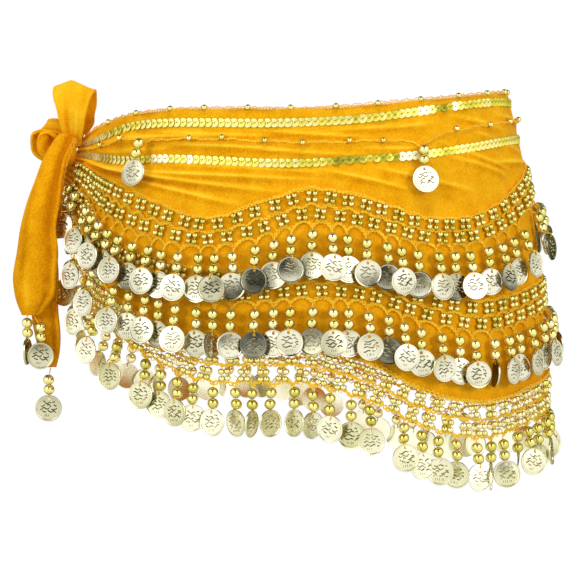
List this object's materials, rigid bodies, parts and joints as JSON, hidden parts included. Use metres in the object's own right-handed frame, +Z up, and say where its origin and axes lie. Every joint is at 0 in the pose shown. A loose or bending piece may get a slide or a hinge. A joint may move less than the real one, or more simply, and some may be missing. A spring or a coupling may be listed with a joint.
{
  "type": "belly dance hip scarf",
  "caption": "Golden velvet hip scarf tied at the side, worn form, with sequin bands, beaded crochet net in tiers and fringes of large beads and coins.",
  "frame": {"origin": "centre of the hips at the height of the knot, where the wearer's hips hold the scarf", "axes": "+X to the wearer's left, along the scarf's greatest width; +Y from front to back; +Z up"},
  "size_m": [0.3782, 0.261, 0.2824],
  "materials": {
    "velvet": "short crushed nap, soft sheen",
    "crochet_thread": "matt twisted thread",
    "sequins": "metallised film, glossy",
    "beads": "vacuum-plated pale gold, mirror gloss",
    "coins": "stamped and plated pale gold and silver, glossy"
  },
  "bodies": {
    "root": {"velvet_panel": "velvet", "tie_knot": "velvet", "bow_loop_upper": "velvet", "bow_loop_side": "velvet", "tie_tail_front": "velvet", "tie_tail_rear": "velvet", "sequin_band_upper": "sequins", "sequin_band_lower": "sequins", "bead_line": "crochet_thread", "tier_one_net": "crochet_thread", "tier_two_net": "crochet_thread", "tier_three_net_front": "crochet_thread", "tier_three_net_back": "crochet_thread", "tier_one_fringe": "coins", "tier_two_fringe": "coins", "tier_three_fringe": "coins", "tail_drop_front_a": "beads", "tail_drop_front_b": "beads", "tail_drop_rear": "beads"}
  },
  "joints": []
}
